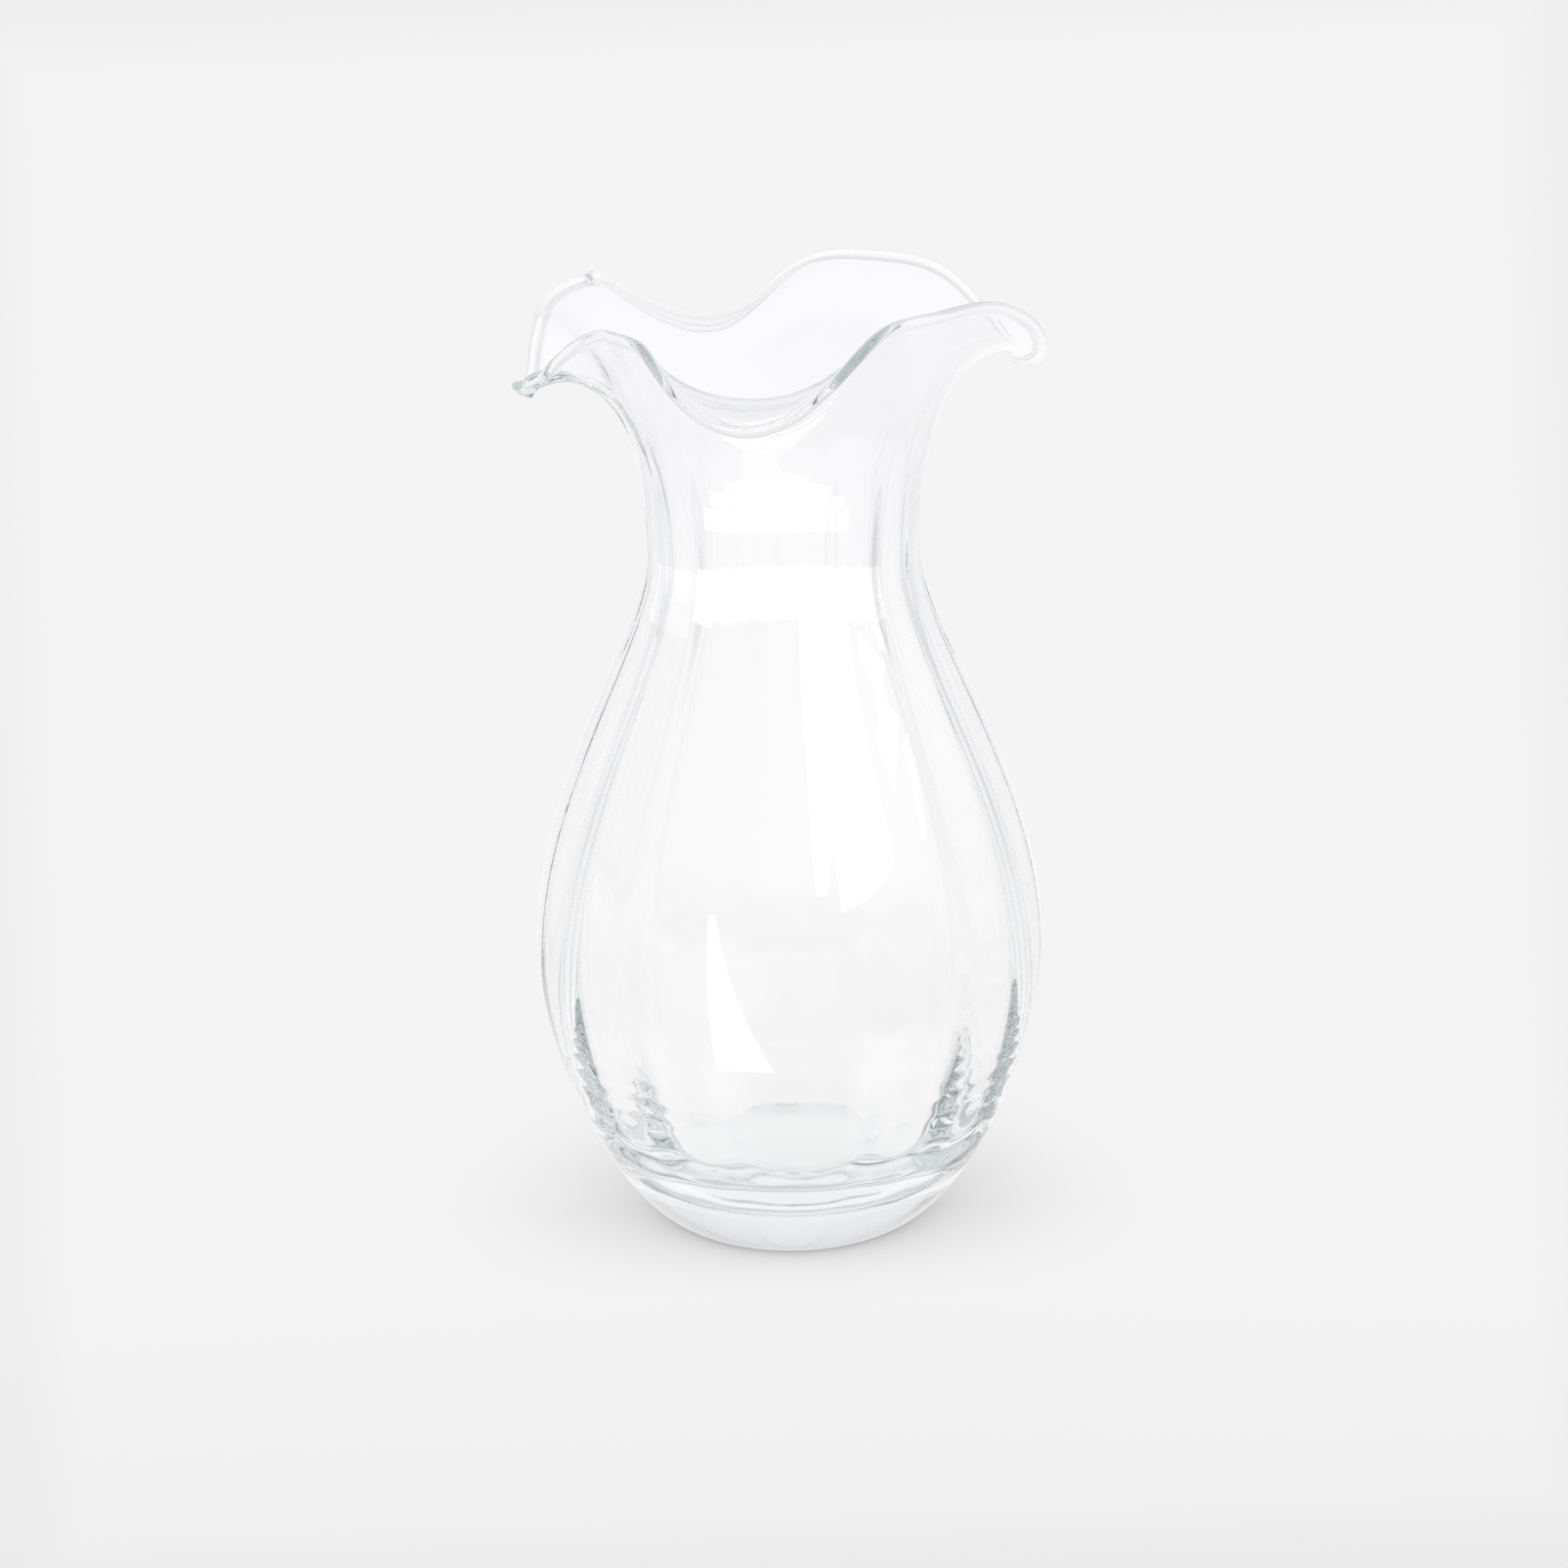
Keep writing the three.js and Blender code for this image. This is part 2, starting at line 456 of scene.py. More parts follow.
@dataclass(frozen=True)
class Knot:
    """A small lump on the rim, where the hot glass was nipped off."""

    azimuth: float = 232
    spread: float = 2.4
    swell: float = 0.75

    def growth(self, azimuths: Array) -> Array:
        """How many times its own radius the bead has at each azimuth: a bell curve over 1."""
        aside = ((azimuths - self.azimuth + 180) % 360 - 180) / self.spread
        return 1 + self.swell * np.exp(-(aside**2))


@dataclass
class BlownVase:
    """The vase: one piece of clear glass, with its body, lip, bead and thick bowl-shaped floor."""

    body: Body = Body()
    lip: Lip = Lip()
    walls: Walls = Walls()
    flutes: OpticFlutes = OpticFlutes()
    ripples: Ripples = Ripples()
    knot: Knot = Knot()
    floor_height: float = 17 * MM
    floor_flat: float = 0.4
    floor_rise: float = 22 * MM
    meridians: int = 288
    bead_rows: int = 32
    floor_rows: int = 22
    foot_rows: tuple[float, ...] = (0.35, 0.7, 0.9, 0.97)
    nudge: float = 0.5

    def outside(self, azimuths: Array) -> tuple[Array, Array]:
        """Points of the outside and the wall behind each.

        A point at azimuth a is (r sin a, -r cos a, z), where r is the outline's radius plus the
        flutes' wave. The inside waves the other way, so the wall gains both of their depths, and
        the ripples as well.

        Args:
            azimuths: the meridians' azimuths, in degrees.

        Returns:
            The points, as meridians by rows by three, and the thickness, as meridians by rows.
        """
        body = self.body.outline(azimuths, self.walls, self.flutes)
        neck = np.array([self.body.neck_radius, self.body.neck_height])
        outline = body.then(self.lip.outline(azimuths, neck, self.walls, self.flutes))
        wave = self.flutes.wave(azimuths)[:, None] * outline.flute
        radius = outline.radius + self.flutes.outside_depth * wave
        turn = np.radians(azimuths)[:, None]
        points = np.stack([radius * np.sin(turn), -radius * np.cos(turn), outline.height], axis=-1)
        thicker = (self.flutes.outside_depth + self.flutes.inside_depth) * wave
        thicker = thicker + self.ripples.thickness(azimuths, outline.height)
        return points, outline.wall + thicker

    def normals(self, azimuths: Array, points: Array) -> tuple[Array, Array]:
        """The outward direction and the direction up the glass at each point of the outside.

        Outward is round x up. Round is the difference between the outside a nudge to either
        side, and up the difference between the rows above and below.

        Args:
            azimuths: the meridians' azimuths, in degrees.
            points: the outside there.

        Returns:
            Both directions, as unit vectors.
        """
        first, last = points[:, 1:2] - points[:, :1], points[:, -1:] - points[:, -2:-1]
        up = np.concatenate([first, points[:, 2:] - points[:, :-2], last], axis=1)
        around = self.outside(azimuths + self.nudge)[0] - self.outside(azimuths - self.nudge)[0]
        outward = np.cross(around, up)
        unit = [way / np.linalg.norm(way, axis=-1, keepdims=True) for way in (outward, up)]
        return unit[0], unit[1]

    def bead(self, azimuths: Array, edge: Array, inner_edge: Array, ways: tuple[Array, Array]) -> Array:
        """The round bead along the rim: an arc from the outside's edge over to the inside's.

        A point of it is the bead's middle + radius (outward cos(angle) + up sin(angle)). The
        radius swells at the knot, and the middle rises with it.

        Args:
            azimuths: the meridians' azimuths, in degrees.
            edge: the outside's last points.
            inner_edge: the inside's last points.
            ways: outward and up at the edge.

        Returns:
            The bead's points, as meridians by rows by three.
        """
        outward, up = ways
        waist = self.walls.bead_waist
        radius = (self.walls.bead_radius * self.knot.growth(azimuths))[:, None]
        middle = (edge + inner_edge) / 2 + up * self.walls.bead_radius * math.sin(waist)
        angle = np.linspace(-waist, math.pi + waist, self.bead_rows + 2)[1:-1, None, None]
        points = middle + radius * (outward * np.cos(angle) + up * np.sin(angle))
        return points.transpose(1, 0, 2)

    def bowl(self, start: Array, above: Array) -> Array:
        """The inside floor, from the foot of the inner wall to near the axis.

        Each meridian is a cubic curve that leaves along the inner wall and comes in level.

        Args:
            start: the lowest points of the inner wall.
            above: the points one row higher.

        Returns:
            The floor's points, as meridians by rows by three.
        """
        downward = start - above
        downward /= np.linalg.norm(downward, axis=-1, keepdims=True)
        bend = start + downward * self.floor_rise
        level = np.concatenate(
            [start[:, :2] * self.floor_flat, np.full((len(start), 1), self.floor_height)], axis=1
        )
        middle = np.array([0, 0, self.floor_height])
        t = np.linspace(0, 1, self.floor_rows + 2)[1:-1, None, None]
        curve = (1 - t) ** 3 * start + 3 * (1 - t) ** 2 * t * bend
        curve = curve + 3 * (1 - t) * t**2 * level + t**3 * middle
        return curve.transpose(1, 0, 2)

    def skin(self) -> ClosedSkin:
        """Works out the whole closed surface: foot, outside, bead, inside and floor.

        A point of the inside is the point of the outside less outward times the wall there. The
        inside ends above the floor, where the bowl takes over.

        Returns:
            The skin.
        """
        azimuths = np.arange(self.meridians) * 360 / self.meridians
        outer, wall = self.outside(azimuths)
        outward, up = self.normals(azimuths, outer)
        inner = outer - outward * wall[..., None]
        bead = self.bead(azimuths, outer[:, -1], inner[:, -1], (outward[:, -1], up[:, -1]))
        above_floor = outer[0, :, 2] > self.floor_height + self.floor_rise
        inner = inner[:, above_floor][:, ::-1]
        floor = self.bowl(inner[:, -1], inner[:, -2])
        foot = outer[:, :1] * np.array(self.foot_rows)[:, None]
        rows = np.concatenate([foot, outer, bead, inner, floor], axis=1)
        return ClosedSkin(rows, [(0, 0, 0), (0, 0, self.floor_height)])

    def build(self) -> bpy.types.Object:
        """Makes the vase's object, seats it on the frame and dresses it.

        Returns:
            The finished piece.
        """
        mesh = self.skin().mesh("blown_vase")
        piece = placed("blown_vase", mesh)
        mesh.materials.append(ClearGlass().material())
        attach(piece, "root")
        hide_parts("glass_vase")
        log.info("%s: %d faces, %d meridians", piece.name, len(mesh.polygons), self.meridians)
        return piece


class Shade:
    """A shader's number: an output socket whose sums, products and powers add Math nodes."""

    def __init__(self, sheet: "NodeSheet", socket: bpy.types.NodeSocket) -> None:
        """Wraps a socket of a node sheet."""
        self.sheet = sheet
        self.socket = socket

    def _math(self, operation: str, first: Any, second: Any) -> "Shade":
        """One Math node on two numbers or shades."""
        node = self.sheet.node("ShaderNodeMath", {"operation": operation}, {0: first, 1: second})
        return Shade(self.sheet, node.outputs[0])

    def __add__(self, other: Any) -> "Shade":
        """The sum."""
        return self._math("ADD", self, other)

    def __sub__(self, other: Any) -> "Shade":
        """The difference."""
        return self._math("SUBTRACT", self, other)

    def __rsub__(self, other: Any) -> "Shade":
        """The difference, from the other side."""
        return self._math("SUBTRACT", other, self)

    def __mul__(self, other: Any) -> "Shade":
        """The product."""
        return self._math("MULTIPLY", self, other)

    __rmul__ = __mul__

    def __truediv__(self, other: Any) -> "Shade":
        """The quotient."""
        return self._math("DIVIDE", self, other)

    def __pow__(self, other: Any) -> "Shade":
        """The power."""
        return self._math("POWER", self, other)

    def at_least(self, other: Any) -> "Shade":
        """The greater of the two."""
        return self._math("MAXIMUM", self, other)

    def at_most(self, other: Any) -> "Shade":
        """The smaller of the two."""
        return self._math("MINIMUM", self, other)


class NodeSheet:
    """A node tree that nodes are added to by type, settings and values or links."""

    def __init__(self, owner: bpy.types.Material | bpy.types.World) -> None:
        """Empties the owner's node tree and keeps it.

        Args:
            owner: the material or the world that the nodes are for.
        """
        owner.use_nodes = True
        self.tree = owner.node_tree
        self.tree.nodes.clear()

    def node(
        self, kind: str, settings: dict[str, Any] | None = None, inputs: dict[Any, Any] | None = None
    ) -> bpy.types.Node:
        """Adds a node.

        Args:
            kind: the node's type.
            settings: its properties, set first.
            inputs: a value, a shade or a socket for each input, by name or number.

        Returns:
            The new node.
        """
        node = self.tree.nodes.new(kind)
        for name, value in (settings or {}).items():
            setattr(node, name, value)
        for name, value in (inputs or {}).items():
            socket = value.socket if isinstance(value, Shade) else value
            if isinstance(socket, bpy.types.NodeSocket):
                self.tree.links.new(socket, node.inputs[name])
            else:
                node.inputs[name].default_value = socket
        return node

    def shade(self, kind: str, output: Any, inputs: dict[Any, Any] | None = None) -> Shade:
        """Adds a node and wraps one of its outputs, by name or number."""
        return Shade(self, self.node(kind, inputs=inputs).outputs[output])

    def ramp(self, value: Any, start: float, end: float) -> Shade:
        """An even rise from 0, where the value is start, to 1, where it is end."""
        inputs = {"Value": value, "From Min": start, "From Max": end}
        return self.shade("ShaderNodeMapRange", 0, inputs=inputs)

    def blend(self, factor: Any, first: Any, second: Any) -> bpy.types.NodeSocket:
        """A colour that goes from the first at factor 0 to the second at 1."""
        inputs = {0: factor, 6: first, 7: second}
        return self.node("ShaderNodeMix", {"data_type": "RGBA"}, inputs).outputs[2]

    def axes(self, kind: str) -> list[Shade]:
        """Splits a place into its coordinates.

        Args:
            kind: which of the texture coordinates gives the place.

        Returns:
            The place's x, y and z.
        """
        place = self.node("ShaderNodeTexCoord").outputs[kind]
        parts = self.node("ShaderNodeSeparateXYZ", inputs={0: place}).outputs
        return [Shade(self, part) for part in parts]

    def glass_light(self) -> tuple[Shade, Shade]:
        """Tells light that has met glass from the rest.

        Returns:
            1 for light that glass has mirrored or let through, and 1 for what it let through.
        """
        path = self.node("ShaderNodeLightPath").outputs
        mirrored, passed = Shade(self, path["Is Glossy Ray"]), Shade(self, path["Is Transmission Ray"])
        return (mirrored + passed).at_most(1.0), passed

    def glow(self, colour: Any, strength: float = 1.0) -> bpy.types.NodeSocket:
        """An even glow."""
        inputs = {"Color": colour, "Strength": strength}
        return self.node("ShaderNodeEmission", inputs=inputs).outputs[0]

    def surface(self, factor: Any, first: Any, second: Any) -> bpy.types.NodeSocket:
        """A surface that goes from the first shader at factor 0 to the second at 1."""
        return self.node("ShaderNodeMixShader", inputs={0: factor, 1: first, 2: second}).outputs[0]


@dataclass(frozen=True)
class ClearGlass:
    """Clear soda glass with a faint green cast, which shows where the eye looks along the wall.

    Painted shade also darkens it there.
    """

    clear: Colour = (1, 1, 1, 1)
    streak: Colour = (0.985, 0.99, 0.985, 1)
    # The slant and edge tints are painted shade: they darken the glass seen on the slant and along its
    # outline, where it shows the darker room; the edge tint's faint green is the glass's own cast, seen
    # edge-on.
    slant: Colour = (0.87, 0.875, 0.88, 1)
    slant_shade_power: float = 1.5
    edge: Colour = (0.62, 0.65, 0.64, 1)
    edge_shade_power: float = 8.0
    ior: float = 1.5
    roughness: float = 0.0
    absorbed: Colour = (0.7, 0.86, 0.83, 1)
    density: float = 1.3
    streak_size: float = 9.0
    streak_detail: float = 1.0
    streak_squash: tuple[float, float, float] = (1, 1, 0.2)
    facing_blend: float = 0.5

    def material(self) -> bpy.types.Material:
        """Makes the glass.

        The colour darkens with the facing angle, as painted shade: softly towards the slant tint,
        and close to the outline towards the edge tint, each by the angle raised to a power. This
        stands in for the darker room that the glass shows where it is seen on the slant and along its
        outline. A facing blend of a half leaves the angle as it is. A slow noise, drawn out along the
        height, adds the faint streaks of glass gathered by hand. What passes through is also dimmed
        along its way, most in red, so thick places look green.

        Returns:
            The material.
        """
        material = bpy.data.materials.new("clear_glass")
        sheet = NodeSheet(material)
        place = sheet.node("ShaderNodeTexCoord").outputs["Object"]
        squash = {"Vector": place, "Scale": self.streak_squash}
        drawn_out = sheet.node("ShaderNodeMapping", inputs=squash).outputs[0]
        slow = {"Vector": drawn_out, "Scale": self.streak_size, "Detail": self.streak_detail}
        noise = sheet.shade("ShaderNodeTexNoise", "Fac", inputs=slow)
        facing = sheet.shade("ShaderNodeLayerWeight", "Facing", inputs={"Blend": self.facing_blend})
        streaked = sheet.blend(noise, self.clear, self.streak)
        slant_shaded = sheet.blend(facing**self.slant_shade_power, streaked, self.slant)
        colour = sheet.blend(facing**self.edge_shade_power, slant_shaded, self.edge)
        glass = sheet.node(
            "ShaderNodeBsdfPrincipled",
            inputs={
                "Base Color": colour,
                "Roughness": self.roughness,
                "IOR": self.ior,
                "Transmission Weight": 1.0,
            },
        )
        inside = sheet.node(
            "ShaderNodeVolumeAbsorption", inputs={"Color": self.absorbed, "Density": self.density}
        )
        sheet.node(
            "ShaderNodeOutputMaterial",
            inputs={"Surface": glass.outputs[0], "Volume": inside.outputs[0]},
        )
        return material


@dataclass(frozen=True)
class Card:
    """A bright card standing round the vase, bent along an arc, which the glass mirrors.

    Its sides run from the azimuths of its top edge to those of its foot, and its foot rises by its
    slant from the first side to the other.
    """

    name: str
    top: Span
    foot: Span
    low: float
    high: float
    slant: float = 0.0
    distance: float = 0.62
    strength: float = 4.0
    columns: int = 24

    def build(self) -> None:
        """Makes the card: a strip at one distance from the axis, from its foot to its top edge."""
        share = np.linspace(0, 1, self.columns + 1)
        points = []
        edges = ((self.foot, self.low + self.slant * share), (self.top, np.full_like(share, self.high)))
        for sides, height in edges:
            angle = np.radians(sides[0] + share * (sides[1] - sides[0]))
            across = np.stack([np.sin(angle), -np.cos(angle)]) * self.distance
            points.append(np.column_stack([*across, height]))
        first = np.arange(self.columns)
        corners = (first, first + 1, first + 2 + self.columns, first + 1 + self.columns)
        mesh = bpy.data.meshes.new(self.name)
        mesh.from_pydata(np.concatenate(points).tolist(), [], np.stack(corners, axis=1).tolist())
        card = placed(self.name, mesh)
        mesh.materials.append(self.material())
        only_mirrored(card)
        card.visible_shadow = False
        card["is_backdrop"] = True

    def material(self) -> bpy.types.Material:
        """Makes the card's plain white glow.

        Returns:
            The material.
        """
        material = bpy.data.materials.new(self.name)
        sheet = NodeSheet(material)
        glow = sheet.glow(WHITE, self.strength)
        sheet.node("ShaderNodeOutputMaterial", inputs={"Surface": glow})
        return material


@dataclass(frozen=True)
class LightRing:
    """Narrow lights side by side on an arc close round the neck, which only the glass mirrors.

    They hang lower at the sides than in front, by their sag times the squared sine of the azimuth.
    """

    name: str
    ends: Span
    low: float
    high: float
    glow: float
    sag: float = 0.0
    count: int = 8
    distance: float = 0.06

    def build(self) -> None:
        """Makes the lights. A lamp's power is its glow x pi x its area."""
        step = (self.ends[1] - self.ends[0]) / self.count
        width = 2 * self.distance * math.tan(math.radians(step / 2))
        tall = self.high - self.low
        for number in range(self.count):
            azimuth = math.radians(self.ends[0] + (number + 0.5) * step)
            data = bpy.data.lights.new(f"{self.name}_{number}", "AREA")
            data.shape = "RECTANGLE"
            data.size, data.size_y = width, tall
            data.energy = self.glow * math.pi * width * tall
            light = placed(data.name, data)
            height = (self.low + self.high) / 2 - self.sag * math.sin(azimuth) ** 2
            across = Vector((math.sin(azimuth), -math.cos(azimuth), 0))
            light.location = across * self.distance + Vector((0, 0, height))
            light.rotation_mode = "QUATERNION"
            light.rotation_quaternion = across.to_track_quat("Z", "Y")
            only_mirrored(light)


@dataclass(frozen=True)
class ProductCamera:
    """A long lens in front of the vase and a little above it, tilted slightly.

    Its focal length and its shift to the side are in pixels of a picture that wide.
    """

    distance: float = 1.3529
    height: float = 0.6023
    aim_height: float = 0.1367
    focal_pixels: float = 4850.5
    picture_pixels: float = 1600
    roll: float = 0.0163
    aside_pixels: float = 3.33
    sensor: float = 36.0
    sight: float = 100.0

    def build(self) -> None:
        """Makes the camera and sets it as the scene's."""
        data = bpy.data.cameras.new("camera")
        camera = placed("camera", data)
        camera.location = (0, -self.distance, self.height)
        way = Vector((0, 0, self.aim_height)) - camera.location
        camera.rotation_mode = "QUATERNION"
        level = way.to_track_quat("-Z", "Y")
        camera.rotation_quaternion = level @ Quaternion((0, 0, 1), -self.roll)
        data.sensor_width = self.sensor
        data.lens = self.focal_pixels / self.picture_pixels * self.sensor
        data.shift_x = -self.aside_pixels / self.picture_pixels
        data.clip_end = self.sight
        bpy.context.scene.camera = camera


@dataclass(frozen=True)
class FloorTones:
    """The floor's colours as the glass shows them, and the spans that each comes in over.

    A span goes from where a colour starts to where it is full, in metres of depth behind the axis.
    Two of them go across instead: the beside span in metres, within the beside depth, and the
    aside span as a place's x over its depth and the aside base.
    """

    # near is a painted shadow: the floor close behind the vase's middle, darker as the glass shows it.
    near: Colour = (0.98, 0.97, 0.975, 1)
    middle: Colour = (1.05, 1.035, 1.045, 1)
    far: Colour = (1.01, 1.0, 1.035, 1)
    left: Colour = (0.78, 0.79, 0.81, 1)
    right: Colour = (0.7, 0.71, 0.73, 1)
    front_mirrored: Colour = (0.45, 0.46, 0.48, 1)
    front_passed: Colour = (0.8, 0.81, 0.83, 1)
    middle_span: Span = (0.03, 0.3)
    beside_span: Span = (0.012, 0.042)
    beside_depth: Span = (0.14, 0.07)
    far_span: Span = (0.5, 1.0)
    front_span: Span = (0.04, -0.2)
    aside_span: Span = (0.12, 0.9)
    aside_base: float = 0.5

    def colour(self, sheet: NodeSheet, passed: Shade) -> bpy.types.NodeSocket:
        """The floor's colour: bright behind the vase, and darker aside and in front.

        It is also a little darker close behind the vase's middle, though not to both sides of it:
        a painted shadow of the vase, as the glass shows the floor.
        In front it is darker in what the glass mirrors than in what passes through it.

        Args:
            sheet: the floor's nodes.
            passed: 1 for light that has passed through the glass.

        Returns:
            The colour.
        """
        x, depth, _ = sheet.axes("Object")
        aside = x / (depth.at_least(0.0) + self.aside_base)
        # A painted shadow of the vase darkens the near tone, and clears further back and to both sides.
        beside = sheet.ramp(x.at_least(-1 * x), *self.beside_span) * sheet.ramp(depth, *self.beside_depth)
        clear = sheet.ramp(depth, *self.middle_span).at_least(beside)
        colour = sheet.blend(clear, self.near, self.middle)
        colour = sheet.blend(sheet.ramp(depth, *self.far_span), colour, self.far)
        colour = sheet.blend(sheet.ramp(aside, *self.aside_span), colour, self.right)
        colour = sheet.blend(sheet.ramp(-1 * aside, *self.aside_span), colour, self.left)
        front = sheet.blend(passed, self.front_mirrored, self.front_passed)
        return sheet.blend(sheet.ramp(depth, *self.front_span), colour, front)


@dataclass(frozen=True)
class PaleFloor:
    """The matt, pale floor that the vase stands on, with its shadow.

    The border is where painted shade darkens the picture towards its edges, in pixels from its middle.
    """

    tones: FloorTones = FloorTones()
    size: float = 40.0
    gap: float = 0.2 * MM
    self_lit: float = 0.98
    shadow_reach: float = 60 * MM
    shadow_depth: float = 0.46
    shadow_power: float = 1.7
    shadow_front: Span = (-5 * MM, -70 * MM)
    contact_depth: float = 0.5
    contact_power: float = 8.0
    # The border and the front are painted shade: they darken the floor towards the picture's edges and
    # towards its front.
    border: Span = (740, 800)
    border_depth: float = 0.045
    front_span: Span = (-0.06, -0.25)
    front_depth: float = 0.045

    def falloff(self, sheet: NodeSheet) -> Shade:
        """How much of its tone the floor keeps under painted shade: less in front, and in a narrow
        border.

        The border follows the picture's edges, as the lens sees the floor: a place's way across
        and up the picture are its distances aside and above the line of sight over its distance
        along it, turned by the camera's roll.

        Args:
            sheet: the floor's nodes.

        Returns:
            The share that is kept.
        """
        camera = ProductCamera()
        aside, depth, _ = sheet.axes("Object")
        tilt = math.atan2(camera.height - camera.aim_height, camera.distance)
        away = (depth + camera.distance) * math.cos(tilt) + camera.height * math.sin(tilt)
        level_up = ((depth + camera.distance) * math.sin(tilt) - camera.height * math.cos(tilt)) / away
        level_across = aside / away
        across = level_across + camera.roll * level_up
        up = level_up - camera.roll * level_across
        inner, outer = (reach / camera.focal_pixels for reach in self.border)
        ways = (across, -1 * across, up, -1 * up)
        border = reduce(Shade.at_least, (sheet.ramp(way, inner, outer) for way in ways))
        front = sheet.ramp(depth, *self.front_span)
        return (1 - self.border_depth * border) * (1 - self.front_depth * front)

    def shadow(self, sheet: NodeSheet) -> Shade:
        """The vase's shadow: soft round the foot, weaker in front, and a thin dark contact line.

        Both come from how open the floor is to the sky, each as what is hidden to a power.

        Args:
            sheet: the floor's nodes.

        Returns:
            The share of the tone that the shadow leaves.
        """
        reach = {"Distance": self.shadow_reach}
        hidden = 1 - sheet.shade("ShaderNodeAmbientOcclusion", "AO", inputs=reach)
        behind = 1 - sheet.ramp(sheet.axes("Object")[1], *self.shadow_front)
        shadow = 1 - self.shadow_depth * behind * hidden**self.shadow_power
        return shadow - self.contact_depth * hidden**self.contact_power

    def material(self) -> bpy.types.Material:
        """Makes the floor's material.

        The glass sees the floor's tones. The camera sees the background's colour with the shadow
        and the painted shade towards the edges and the front, nearly all of it as a glow, so that the
        lamps don't change it.

        Returns:
            The material.
        """
        material = bpy.data.materials.new("floor")
        sheet = NodeSheet(material)
        matt = sheet.node("ShaderNodeBsdfDiffuse", inputs={"Color": BACKGROUND}).outputs[0]
        toned = sheet.blend(self.shadow(sheet) * self.falloff(sheet), BLACK, BACKGROUND)
        seen = sheet.surface(self.self_lit, matt, sheet.glow(toned))
        from_glass, passed = sheet.glass_light()
        mixed = sheet.surface(from_glass, seen, sheet.glow(self.tones.colour(sheet, passed)))
        sheet.node("ShaderNodeOutputMaterial", inputs={"Surface": mixed})
        return material

    def build(self) -> None:
        """Makes the floor: a square just under the vase's foot."""
        half = self.size / 2
        corners = [(-half, -half), (half, -half), (half, half), (-half, half)]
        mesh = bpy.data.meshes.new("floor")
        mesh.from_pydata([(x, y, -self.gap) for x, y in corners], [], [(0, 1, 2, 3)])
        mesh.materials.append(self.material())
        floor = placed("floor", mesh)
        floor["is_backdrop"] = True


@dataclass(frozen=True)
class PaleRoom:
    """The world: plain white light on the floor, and round it the room that the glass shows.

    Its spans are of the unit vector that points to a place in the room: to the right, up for the
    window and the ceiling, and back for the front, where the back's reach leans forward with
    height.
    """

    back: Colour = (0.95, 0.94, 0.965, 1)
    ceiling: Colour = (0.75, 0.75, 0.78, 1)
    left: Colour = (0.26, 0.28, 0.3, 1)
    right: Colour = (0.5, 0.51, 0.54, 1)
    window: Colour = (0.85, 0.85, 0.88, 1)
    right_span: Span = (-0.3, 0.5)
    window_foot: Span = (0.1, 0.3)
    window_top: Span = (0.85, 0.7)
    ceiling_span: Span = (0.3, 0.95)
    front_span: Span = (0.5, 0.05)
    back_leans_from: float = 0.42
    back_lean: float = 1.5

    def colour(self, sheet: NodeSheet, passed: Shade) -> bpy.types.NodeSocket:
        """The room's colour round the vase, as the glass shows it.

        It is bright behind the vase and duller overhead. The front is dark, more so on its left,
        and the higher up, the further round to the front the brightness reaches. A window at the
        front right shows in what passes through the glass.

        Args:
            sheet: the world's nodes.
            passed: 1 for light that has passed through the glass.

        Returns:
            The colour.
        """
        x, y, z = sheet.axes("Generated")
        right = sheet.ramp(x, *self.right_span)
        in_window = sheet.ramp(z, *self.window_foot) * sheet.ramp(z, *self.window_top)
        around = sheet.blend(right, self.left, self.right)
        around = sheet.blend(in_window * right * passed, around, self.window)
        behind = sheet.blend(sheet.ramp(z, *self.ceiling_span), self.back, self.ceiling)
        backwards = y + self.back_lean * (z - self.back_leans_from).at_least(0.0)
        return sheet.blend(sheet.ramp(backwards, *self.front_span), behind, around)

    def build(self) -> None:
        """Makes the world: the background's tone to the camera, and the room to the glass."""
        world = bpy.data.worlds.new("studio")
        bpy.context.scene.world = world
        sheet = NodeSheet(world)
        to_camera = sheet.shade("ShaderNodeLightPath", "Is Camera Ray")
        plain = sheet.blend(to_camera, WHITE, BACKGROUND)
        from_glass, passed = sheet.glass_light()
        seen = sheet.blend(from_glass, plain, self.colour(sheet, passed))
        glow = sheet.node("ShaderNodeBackground", inputs={"Color": seen, "Strength": 1.0})
        sheet.node("ShaderNodeOutputWorld", inputs={"Surface": glow.outputs[0]})


CARDS = (
    Card("window_left", (13.5, 32), (14, 19.5), low=0.235, high=0.5, distance=0.61),
    Card("window_right", (24, 48), (24, 51), low=0.195, high=0.5, slant=0.055),
    Card("side_pane", (58, 68), (61.5, 72.5), low=0.335, high=0.4, slant=0.04),
    Card("far_pane", (71.5, 74.5), (68, 70), low=0.25, high=0.36),
    Card("low_strip", (-24, -21.5), (-21, -5.7), low=0.055, high=0.124, distance=0.1),
)

RINGS = (
    LightRing("band_left", (-90, -50), low=0.2015, high=0.2095, glow=0.8, sag=0.006, count=4),
    LightRing("neck_band", (-50, 37), low=0.2048, high=0.21, glow=4, sag=0.006),
    LightRing("band_right", (37, 57), low=0.2048, high=0.21, glow=2.5, sag=0.006, count=2),
    LightRing("dome_foot", (-45, 38), low=0.2178, high=0.2228, glow=1.6, sag=0.003),
    LightRing("dome_middle", (-41, 34), low=0.2228, high=0.2258, glow=1.5, sag=0.002),
    LightRing("dome_shoulder", (-32, 26), low=0.2258, high=0.2276, glow=1.3, sag=0.001, count=6),
    LightRing("dome_top", (-20, 16), low=0.2276, high=0.2288, glow=0.9, count=4),
)


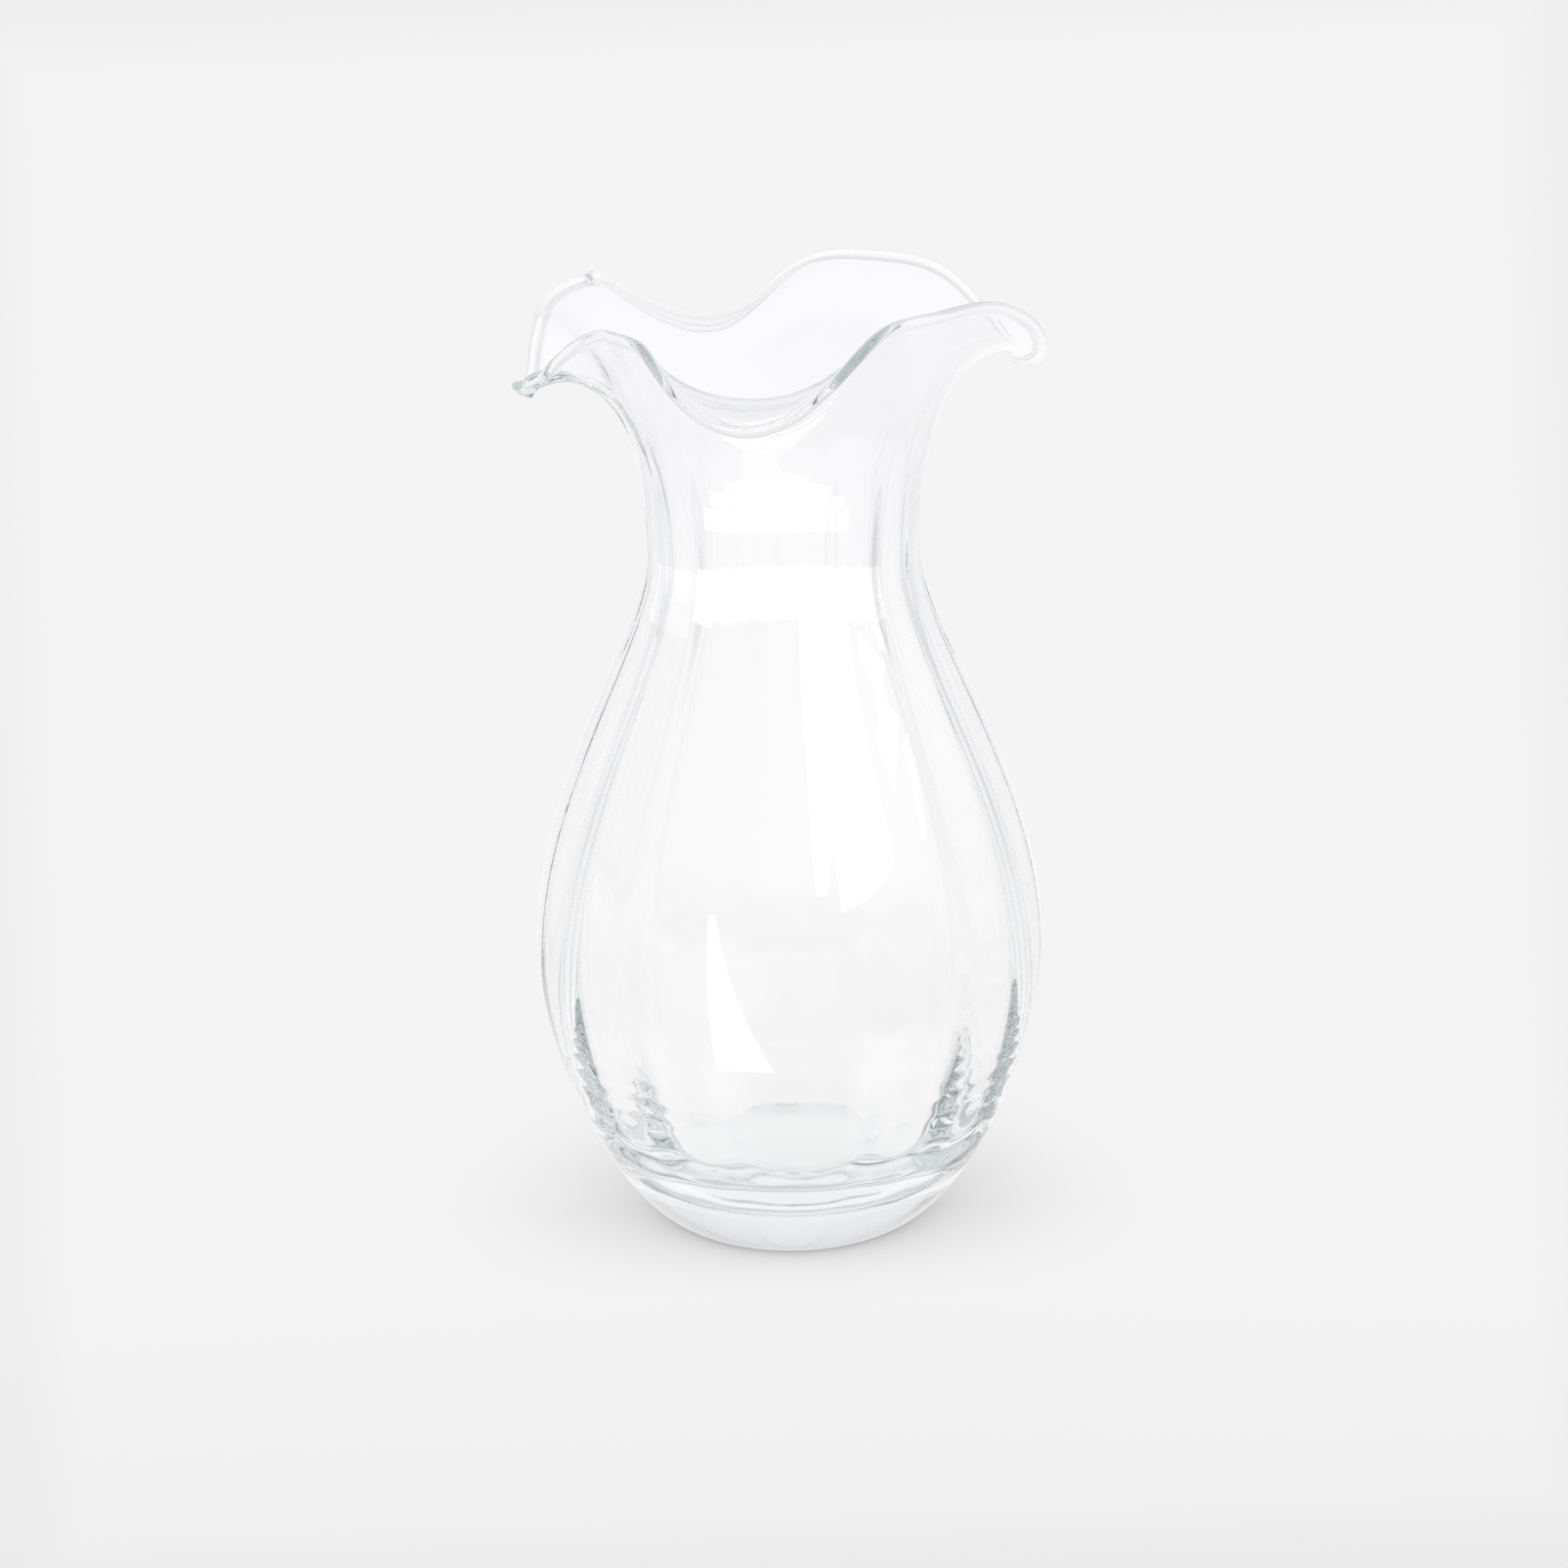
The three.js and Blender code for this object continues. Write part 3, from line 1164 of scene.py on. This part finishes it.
def main() -> None:
    """Builds the vase, then the stage, lights and camera round it."""
    logging.basicConfig(level=logging.INFO, format="%(name)s: %(message)s")
    scene = bpy.context.scene
    scene.view_settings.view_transform = "Standard"
    scene.cycles.max_bounces = BOUNCES
    scene.cycles.transmission_bounces = BOUNCES
    scene.cycles.glossy_bounces = BOUNCES
    scene.cycles.caustics_refractive = False
    scene.cycles.caustics_reflective = False
    vase = BlownVase().build()
    for part in (PaleFloor(), PaleRoom(), *CARDS, *RINGS, ProductCamera()):
        part.build()
    low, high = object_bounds()
    log.info("%s stands %.0f mm high", vase.name, (high.z - low.z) / MM)


if __name__ == "__main__":
    main()
